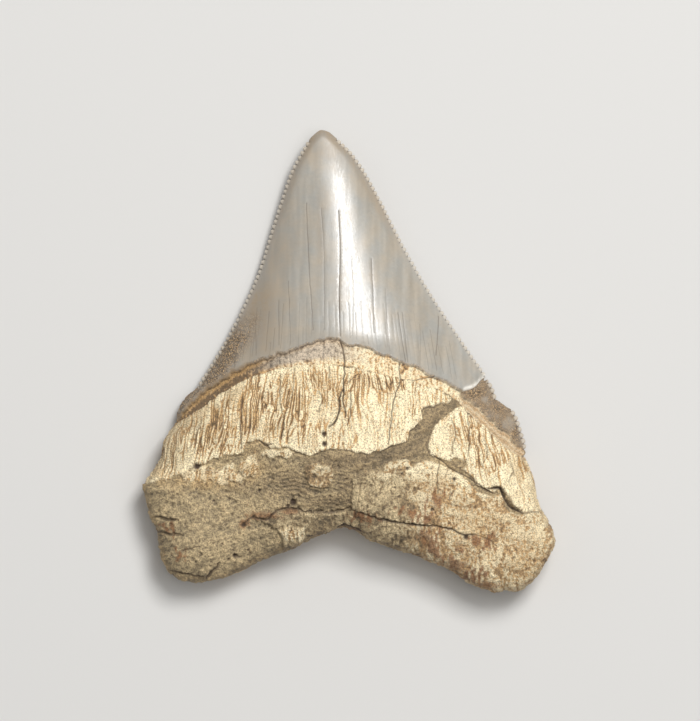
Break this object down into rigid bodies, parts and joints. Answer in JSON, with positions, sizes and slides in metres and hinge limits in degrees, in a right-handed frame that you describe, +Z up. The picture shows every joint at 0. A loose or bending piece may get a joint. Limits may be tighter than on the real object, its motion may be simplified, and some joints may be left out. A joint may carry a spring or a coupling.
{
  "type": "megalodon tooth",
  "caption": "Fossil megalodon tooth: triangular serrated crown over a thick two-lobed root, lying on its flat labial face as a display or handling piece.",
  "frame": {"origin": "on the resting plane, under the middle of the tooth", "axes": "+Y from the root to the crown's tip, +Z up, out of the lingual face; +X is to the right, seen from above with the tip away"},
  "size_m": [0.0514, 0.0577, 0.0131],
  "materials": {
    "fossil": "dull rough root, polished enamel crown"
  },
  "bodies": {
    "root": {"tooth": "fossil"}
  },
  "joints": []
}
